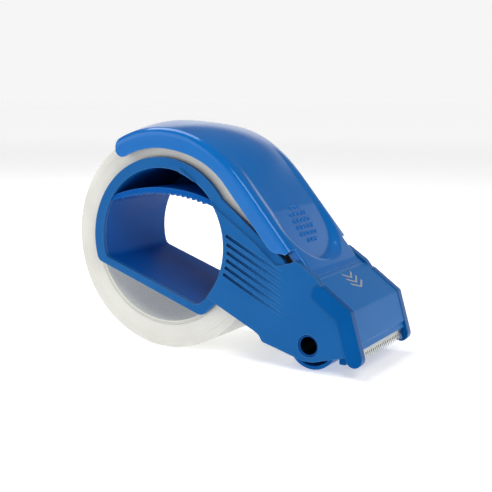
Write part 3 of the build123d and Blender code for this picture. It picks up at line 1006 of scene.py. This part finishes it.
@dataclass
class ThumbCover:
    """Long polished cover: arched over the roll, dished for the thumb, hinged at the nose.

    tail, reach and front are runs; a rise is a height above SHOULDER; low is the side face's
    lower edge.
    """

    tail: float = -72.2  # arc length from the tail to where the round part ends
    reach: float = 42.9  # end of the side faces on the straight part
    front: float = 57.8  # parting line with the nose panel
    half: float = 28.8
    tongue: float = 24.2
    wall: float = 1.5
    edge_r: float = 3.0
    flat_half: float = 25.8
    rim_rise: float = 1.9
    mid_rise: float = 3.7
    tail_rise: float = 1.4
    flat_rise: float = 2.7
    dish_half: float = 22.3
    dish_round_from: float = 30.0
    dish_round: float = 21.3
    dish_edge: float = 4.2
    low_tail: float = 43.6
    low_front: float = 45.7
    tip_r: float = 3.85
    dot_rows: tuple[int, ...] = (3, 5, 5, 5, 5, 3)
    dot_pitch: float = 3.4
    dot_step: float = 3.36
    dot_from: float = 22.6
    hinge: tuple[float, float] = (77.605, -12.286)  # from the hub's axis, as (x, z)
    barrel_r: float = 3.15
    pin_hole_r: float = 1.6

    def along(self, s: float, height: float) -> np.ndarray:
        """Point at that run along the cover and that height from the hub's axis, as (x, z)."""
        if s < 0:
            return unit(COVER_BREAK - degrees(s / SHOULDER)) * height
        return unit(COVER_BREAK) * height + unit(COVER_BREAK - 90) * s

    def nose_line(self, s: float) -> float:
        """Height of the nose panel's top line at that run."""
        return 54.869 - 0.2529 * (58.34 - s)

    def tip_drop(self, s: float) -> float:
        """How far the rounded tail has dropped below the full side face."""
        into = min(s - self.tail, self.tip_r)
        return self.tip_r - sqrt(max(0.0, self.tip_r**2 - (self.tip_r - into) ** 2))

    def low(self, s: float) -> float:
        """Height of the side face's lower edge.

        Args:
            s: Run along the cover.

        Returns:
            The height, which climbs to the tongue at the end of the side faces.
        """
        if s < 2:
            start = -(84.0 - COVER_BREAK) * pi / 180 * SHOULDER
            return self.low_tail + (self.low_front - self.low_tail) * smooth(
                (s - start) / (2 - start)
            ) + self.tip_drop(s)
        climb = (s - 38.2) * 1.12
        eased = sqrt(climb * climb + 2.0) if climb > -6 else -climb
        return min(50.3, self.low_front + max(0.0, (climb + eased) / 2 - 0.06))

    def rim(self, s: float) -> float:
        """Height of the rounded edge's top beside the arch and the dish."""
        rise = self.rim_rise + (self.flat_rise - self.rim_rise) * smooth((s + 12) / 20)
        return max(SHOULDER + rise, self.nose_line(s)) if s > 45 else SHOULDER + rise

    def crown(self, s: float, y: float) -> float:
        """Height of the arched top, before the dish.

        Args:
            s: Run along the cover.
            y: Place across it.

        Returns:
            The height.
        """
        part = min(1.0, abs(y) / self.flat_half)
        mid = SHOULDER + self.mid_rise + (self.flat_rise - self.mid_rise) * smooth((s + 4) / 18)
        mid += self.tail_rise * smooth((-40 - s) / 16)
        return self.rim(s) + max(0.0, mid - self.rim(s)) * (1 - part**2)

    def dish(self, s: float, y: float) -> float:
        """How much of the dish there is at a point.

        Args:
            s: Run along the cover.
            y: Place across it.

        Returns:
            0 outside the dish and 1 on its floor.
        """
        width = self.dish_half + self.dish_edge / 2
        length = self.dish_round + self.dish_edge / 4
        ahead = max(0.0, s - self.dish_round_from)
        away = width * (1 - sqrt((y / width) ** 2 + (ahead / length) ** 2))
        return smooth(away / self.dish_edge) * smooth((s + 16) / 18)

    def floor(self, s: float, y: float) -> float:
        """Height of the dish's floor, which falls away towards the nose."""
        fall = 53.5 - 0.113 * (s - 22.6)
        return min(self.crown(s, y) - 0.5, fall)

    def top(self, s: float, y: float) -> float:
        """Height of the finished top."""
        share = self.dish(s, y)
        return self.crown(s, y) * (1 - share) + self.floor(s, y) * share

    def columns(self, half: float, s: float) -> list[float]:
        """Places across the top at which a section is sampled.

        They lie closer together on the dish's slopes. Towards the end of the side faces all but
        the outermost are drawn in to the tongue's own, so that the two sections there meet.

        Args:
            half: Half width of the top.
            s: Run along the cover.

        Returns:
            The places, from -Y to +Y.
        """
        share = smooth((s - 31.0) / (self.reach - 31.0))
        drawn = half + (self.tongue - 0.9 - half) * share
        ys = [drawn * k for k in (0.0, 0.12, 0.24, 0.36, 0.46, 0.55, 0.62, 0.67)]
        ys += [drawn * (0.67 + 0.33 * k / 13) for k in range(1, 13)] + [half]
        return [-y for y in reversed(ys[1:])] + ys

    def section(self, s: float, narrow: bool) -> list[tuple[float, float]]:
        """Outline across the cover at a run, as (y, height), from -Y to +Y.

        Args:
            s: Run along the cover.
            narrow: True past the end of the side faces, where only the tongue goes on.

        Returns:
            The outline's points; every section has the same number.
        """
        half = self.tongue if narrow else self.half
        drop = self.tip_drop(s)
        edge = self.rim(s) - drop
        low = edge - 4.2 if narrow else self.low(s)
        radius = 0.9 if narrow else min(self.edge_r, 0.8 * (edge - low))
        side = [
            (half, low + (edge - radius - low) * share)
            for share in (0.0, 0.08, 0.3, 0.6, 0.88, 1.0)
        ]
        side += [
            (
                half - radius * (1 - cos(radians(lean))),
                edge - radius * (1 - sin(radians(lean))),
            )
            for lean in (15, 30, 45, 60, 75)
        ]
        inward = max(0.0, 2.0 - (s - self.tail))
        end = 2.0 - sqrt(4.0 - inward**2)
        across = [
            (y, self.top(s, y) - end - (drop - end) * smooth((abs(y) - 20.0) / 6.0))
            for y in self.columns(half - radius, s)
        ]
        return [(-y, h) for y, h in side] + across + [(y, h) for y, h in reversed(side)]

    def stations(self) -> list[tuple[float, bool]]:
        """Runs at which sections are taken.

        Returns:
            Each run, and whether its section is a narrow one.
        """
        tip = [self.tail + self.tip_r * (1 - cos(radians(a))) for a in range(0, 91, 10)]
        arc = list(np.linspace(self.tail + self.tip_r + 1.0, -1.0, 56))
        straight = list(np.linspace(0.0, self.reach, 56))
        tongue = list(np.linspace(self.reach, self.front, 24))
        return [(s, False) for s in tip + arc + straight] + [(s, True) for s in tongue]

    def shell(self) -> bpy.types.Mesh:
        """The cover's skin as a closed mesh.

        Returns:
            The mesh.
        """
        outer, inner = [], []
        for s, narrow in self.stations():
            outline = np.array(self.section(s, narrow))
            ahead = np.roll(outline, -1, axis=0)
            behind = np.roll(outline, 1, axis=0)
            ahead[-1], behind[0] = outline[-1], outline[0]
            run = ahead - behind
            run[:, 0] += 1e-9
            across = np.stack([run[:, 1], -run[:, 0]], axis=1)
            across /= np.linalg.norm(across, axis=1)[:, None]
            within = outline + across * self.wall
            within[0] = outline[0] + np.array([self.wall, 0.0])
            within[-1] = outline[-1] - np.array([self.wall, 0.0])
            for store, line in ((outer, outline), (inner, within)):
                row = []
                for y, h in line:
                    x, z = self.along(s, h)
                    row.append(spot(x, y, z))
                store.append(row)
        return grid_solid("thumb_cover_shell", np.array(outer, float), np.array(inner, float))

    def knuckle(self) -> bpy.types.Mesh:
        """Hinge barrel under the tongue's front edge.

        Returns:
            The mesh.
        """
        face, rim = self.barrel_r - 0.25, self.tongue - 0.3
        half = [(self.barrel_r, rim), (face, self.tongue), (self.pin_hole_r, self.tongue)]
        return lathe(
            "cover_knuckle", [(r, -y) for r, y in reversed(half)] + half, self.hinge, 48
        )

    def build(self) -> None:
        """Builds the shell with its barrel, and the thumb dots."""
        shell = new_object("thumb_cover_shell", self.shell())
        soften(shell, 0.35, 2, 50.0)
        finish_piece(shell, Body.COVER, COVER, ("thumb_cover",))
        barrel = new_object("cover_knuckle", self.knuckle())
        shade(barrel.data)
        finish_piece(barrel, Body.COVER, COVER)
        places = []
        for row, count in enumerate(self.dot_rows):
            s = self.dot_from + row * self.dot_step
            for k in range(count):
                y = (k - (count - 1) / 2) * self.dot_pitch
                x, z = self.along(s, self.top(s, y) - 0.05)
                places.append(spot(x, y, z))
        mesh = bpy.data.meshes.new("thumb_dots")
        mesh.from_pydata([tuple(p) for p in places], [], [])
        dots = new_object("thumb_dots", mesh)
        grow(
            dots,
            stud_tree(),
            {
                "Radius": 1.05 * MM,
                "Rise": 1.0 * MM,
                "Tilt": radians(90 - COVER_BREAK),
                "Finish": COVER.material(),
            },
        )
        finish_piece(dots, Body.COVER, None)
        Refined("brake_shoe", Body.COVER, RUBBER, "shoe_rubber", 0.2).build()


# ---------------------------------------------------------------- tape roll


@dataclass
class TapeRoll:
    """Wound tape on its paperboard core."""

    half: float = 24.0
    layers: int = 40
    uneven: float = 0.05  # how far single layers stand in or out at the sides
    seed: int = 7

    def build(self) -> None:
        """Builds the wound layers and the core."""
        rng = np.random.default_rng(self.seed)
        radii = np.linspace(CORE_R, ROLL_R, self.layers + 1)
        near = [-self.half + abs(v) for v in rng.normal(0, self.uneven, self.layers + 1)]
        far = [self.half - abs(v) for v in rng.normal(0, self.uneven, self.layers + 1)]
        near[0], far[0] = -self.half, self.half
        outline = [(r, y) for r, y in zip(radii, near)]
        outline[-1] = (ROLL_R - 0.2, -self.half + 0.02)
        outline += [(ROLL_R, -self.half + 0.2), (ROLL_R, 0.0), (ROLL_R, self.half - 0.2)]
        outline += [(ROLL_R - 0.2, self.half - 0.02)]
        outline += [(r, y) for r, y in reversed(list(zip(radii[:-1], far[:-1])))]
        wound = new_object("tape_layers", lathe("tape_layers", outline, (0.0, 0.0), 192))
        shade(wound.data, 40.0)
        finish_piece(wound, Body.ROLL, TAPE, ("tape_wound",))
        Refined("tape_core", Body.ROLL, CORE, "core_board", 0.25).build()


# ---------------------------------------------------------------- frame


@dataclass
class SideFrame:
    """Near wall with the hand ring, hub, finger grip, and the far wall with its posts."""

    pieces: tuple[tuple[str, Finish, str, float], ...] = (
        ("side_frame", WALL, "wall_plastic", 0.0),
        ("hand_hub", HUB, "hub_plastic", 0.4),
        ("finger_grip", HUB, "hub_plastic", 0.3),
        ("pocket_web", HUB, "hub_plastic", 0.2),
        ("far_plate", WALL, "wall_plastic", 0.35),
        ("spacer_posts", WALL, "wall_plastic", 0.2),
        ("plate_screws", ZINC, "screw_steel", 0.12),
        ("roller_axle", AXLE, "axle_plastic", 0.35),
        ("hinge_pin", ZINC, "pin_steel", 0.2),
        ("return_spring", LEAF, "spring_steel", 0.1),
        ("tape_web", FILM, "tape_film", 0.0),
    )

    def build(self) -> None:
        """Carries each node over with its finish."""
        for node, finish, slot, width in self.pieces:
            Refined(node, Body.FRAME, finish, slot, width, merge=width > 0).build()


# ---------------------------------------------------------------- nose


@dataclass
class Nose:
    """Nose panel with its printed mark, cheeks, and the blade with its clamp."""

    tilt: float = -36.0
    front_tilt: float = -74.0
    top_len: float = 21.6
    start: tuple[float, float] = (79.486, -9.698)
    teeth: int = 24
    pitch: float = 2.0
    blade_wall: float = 0.5
    blade_in: float = 2.2  # how far the blade lies behind the panel's front
    lip_from: float = 14.0
    lip_depth: float = 0.8

    def top_point(self, run: float, lift: float) -> np.ndarray:
        """Point on the panel's top, past the parting line and above the surface."""
        return np.array(self.start) + unit(self.tilt) * run + unit(self.tilt + 90) * lift

    def front_point(self, run: float, lift: float) -> np.ndarray:
        """Point on the panel's front, below the bend and outside the surface."""
        bend = np.array(self.start) + unit(self.tilt) * self.top_len
        return bend + unit(self.front_tilt) * run + unit(self.front_tilt + 90) * lift

    def mark(self) -> None:
        """Prints a generic feed arrow: three nested chevrons, pointing to the blade."""
        bm = bmesh.new()
        thick, rise = 0.7, 0.06
        for k in range(3):
            tip = 12.6 - k * 3.0
            spine = [(tip - 3.0, -5.8 + k * 0.6), (tip, 0.0), (tip - 3.0, 5.8 - k * 0.6)]
            for joined, (a, b), (c, d) in zip((1, 3), spine[:-1], spine[1:]):
                corners = []
                for run, y in ((a, b), (c, d), (c - thick * 1.5, d), (a - thick * 1.5, b)):
                    for lift in (-0.02, rise):
                        x, z = self.top_point(run, lift)
                        corners.append(bm.verts.new(spot(x, y + 0.6, z)))
                low, high = corners[0::2], corners[1::2]
                bm.faces.new(high)
                bm.faces.new(low[::-1])
                for i in range(4):
                    j = (i + 1) % 4
                    if i != joined:  # the two arms meet there, with no wall between them
                        bm.faces.new((low[i], low[j], high[j], high[i]))
        bmesh.ops.remove_doubles(bm, verts=bm.verts, dist=1e-7)
        bmesh.ops.recalc_face_normals(bm, faces=bm.faces)
        mesh = bpy.data.meshes.new("feed_arrow")
        bm.to_mesh(mesh)
        bm.free()
        finish_piece(new_object("feed_arrow", mesh), Body.FRAME, INK)

    def blade(self) -> None:
        """Toothed blade: a ground strip and one tooth repeated along it."""
        back, root, tip = 8.0, 18.9, 21.9
        deep, near = -self.blade_in - self.blade_wall, -self.blade_in
        bm = bmesh.new()
        half, side = self.pitch / 2, self.pitch * self.teeth / 2
        rows = []
        for run, width, front, rear in (
            (root, half * 0.86, near, deep),
            (tip, 0.05, near - 0.3, deep),
        ):
            ring = []
            for y, lift in ((-width, front), (width, front), (width, rear), (-width, rear)):
                x, z = self.front_point(run, lift)
                ring.append(bm.verts.new(spot(x, y - side + half, z)))
            rows.append(ring)
        bm.faces.new(rows[0])
        bm.faces.new(rows[1][::-1])
        for i in range(4):
            j = (i + 1) % 4
            bm.faces.new((rows[0][j], rows[0][i], rows[1][i], rows[1][j]))
        bmesh.ops.recalc_face_normals(bm, faces=bm.faces)
        mesh = bpy.data.meshes.new("blade_teeth")
        bm.to_mesh(mesh)
        bm.free()
        teeth = new_object("blade_teeth", mesh)
        grow(
            teeth,
            row_tree(),
            {"Count": self.teeth, "Pitch": (0.0, self.pitch * MM, 0.0), "Finish": TEETH.material()},
        )
        finish_piece(teeth, Body.FRAME, None, ("blade",))
        outer, inner = [], []
        for run in np.linspace(back, root, 9):
            for store, lift in ((outer, near), (inner, deep)):
                x, z = self.front_point(run, lift)
                store.append([spot(x, y, z) for y in np.linspace(-side, side, 25)])
        strip = new_object(
            "blade_strip", grid_solid("blade_strip", np.array(outer, float), np.array(inner, float))
        )
        shade(strip.data)
        finish_piece(strip, Body.FRAME, BLADE)

    def lip(self, bm: bmesh.types.BMesh) -> None:
        """Sets the panel's front back in a shallow step just above the blade.

        Args:
            bm: The panel's mesh, changed in place.
        """
        down = unit(self.front_tilt)
        for run in (self.lip_from, self.lip_from + 0.5):
            x, z = self.front_point(run, 0.0)
            whole = list(bm.verts) + list(bm.edges) + list(bm.faces)
            bmesh.ops.bisect_plane(
                bm, geom=whole, plane_co=spot(x, 0.0, z), plane_no=(down[0], 0.0, down[1])
            )
        out = unit(self.front_tilt + 90)
        base = self.front_point(0.0, 0.0)
        for vert in bm.verts:
            place = np.array([vert.co.x / MM - HUB_X, vert.co.z / MM - HUB_Z]) - base
            if place @ down > self.lip_from + 0.4 and place @ out > -0.3:
                vert.co -= Vector((out[0], 0.0, out[1])) * self.lip_depth * MM

    def build(self) -> None:
        """Builds the nose's pieces."""
        Refined("nose_panel", Body.FRAME, NOSE, "nose_plastic", 0.3, shape=self.lip).build()
        Refined("near_cheek", Body.FRAME, CHEEK, "cheek_plastic", 0.2).build()
        Refined("far_cheek", Body.FRAME, CHEEK, "cheek_plastic", 0.2).build()
        Refined("blade_clamp", Body.FRAME, NOSE, "nose_plastic", 0.2).build()
        Refined("blade_rivets", Body.FRAME, ZINC, "screw_steel", 0.12).build()
        Refined("tape_rest", Body.FRAME, CHEEK, "cheek_plastic", 0.2).build()
        self.blade()
        self.mark()


@dataclass
class Roller:
    """Applicator roller that runs on the hollow axle."""

    def build(self) -> None:
        """Carries the roller over with rounded rims."""
        Refined("applicator_roller", Body.ROLLER, ROLLER, "roller_plastic", 0.4).build()


# ---------------------------------------------------------------- studio


@dataclass
class Studio:
    """Plain pale floor, soft light from above and both sides, and the camera.

    Places are in millimetres and angles in degrees; a lamp has its place, size and watts.
    """

    place: tuple[float, float, float] = (227.1, -377.9, 116.5)
    turn: float = 30.56
    down: float = 8.93
    lens: float = 68.44
    world: float = 0.92
    floor_half: float = 24.0  # metres
    floor_below: float = 0.0004  # metres under the lowest point
    lamps: tuple[tuple[str, tuple[float, float, float], float, float], ...] = field(
        default_factory=lambda: (
            ("top_softbox", (-350.0, 0.0, 850.0), 600.0, 5.5),
            ("left_softbox", (-700.0, -800.0, 350.0), 600.0, 1.5),
            ("right_softbox", (560.0, -520.0, 760.0), 420.0, 3.2),
        )
    )

    def floor(self) -> None:
        """Pale floor just under what stands on it."""
        mesh = bpy.data.meshes.new("studio_floor")
        size, depth = self.floor_half, -self.floor_below
        mesh.from_pydata(
            [(x * size, y * size, depth) for x, y in ((-1, -1), (1, -1), (1, 1), (-1, 1))],
            [],
            [(0, 1, 2, 3)],
        )
        plane = new_object("studio_floor", mesh)
        plane.data.materials.append(PAPER.material())

    def light(self) -> None:
        """Area lamps that face the object, and a white surround that darkens overhead."""
        for name, where, size, power in self.lamps:
            data = bpy.data.lights.new(name, "AREA")
            data.shape = "SQUARE"
            data.size = size * MM
            data.energy = power
            lamp = bpy.data.objects.new(name, data)
            bpy.context.scene.collection.objects.link(lamp)
            lamp.location = Vector(where) * MM
            aim = Vector((0.0, 0.0, 0.05)) - lamp.location
            lamp.rotation_euler = aim.to_track_quat("-Z", "Y").to_euler()
        sky = bpy.data.worlds.new("studio_surround")
        sky.use_nodes = True
        tree = sky.node_tree
        tree.nodes.clear()
        way = add_node(tree, "ShaderNodeTexCoord").outputs["Generated"]
        up = add_node(tree, "ShaderNodeSeparateXYZ", {"Vector": way}).outputs["Z"]
        tone = ramp(
            tree,
            up,
            [
                (0.0, srgb("FFFFFF")),
                (0.3, srgb("FFFFFF")),
                (0.42, srgb("6E6E6E")),
                (1.0, srgb("8C8C8C")),
            ],
        )
        glow = add_node(
            tree, "ShaderNodeBackground", {"Color": tone, "Strength": self.world}
        ).outputs["Background"]
        add_node(tree, "ShaderNodeOutputWorld", {"Surface": glow})
        bpy.context.scene.world = sky

    def camera(self) -> None:
        """Camera level with the nose, a little above the dispenser."""
        data = bpy.data.cameras.new("studio_camera")
        data.lens = self.lens
        data.sensor_width = 36.0
        data.clip_start = 0.01
        data.clip_end = 100.0
        camera = bpy.data.objects.new("studio_camera", data)
        bpy.context.scene.collection.objects.link(camera)
        camera.location = Vector(self.place) * MM
        turn, down = radians(self.turn), radians(self.down)
        aim = Vector((-sin(turn) * cos(down), cos(turn) * cos(down), -sin(down)))
        camera.rotation_euler = aim.to_track_quat("-Z", "Y").to_euler()
        bpy.context.scene.camera = camera
        bpy.context.scene.view_settings.view_transform = "Standard"

    def build(self) -> None:
        """Sets up the studio."""
        self.floor()
        self.light()
        self.camera()


def main() -> None:
    """Builds every sub-assembly in order."""
    logging.basicConfig(level=logging.INFO, format="%(name)s: %(message)s")
    for part in (SideFrame(), TapeRoll(), Roller(), Nose(), ThumbCover(), Studio()):
        LOG.info("building %s", type(part).__name__)
        part.build()


if __name__ == "__main__":
    main()
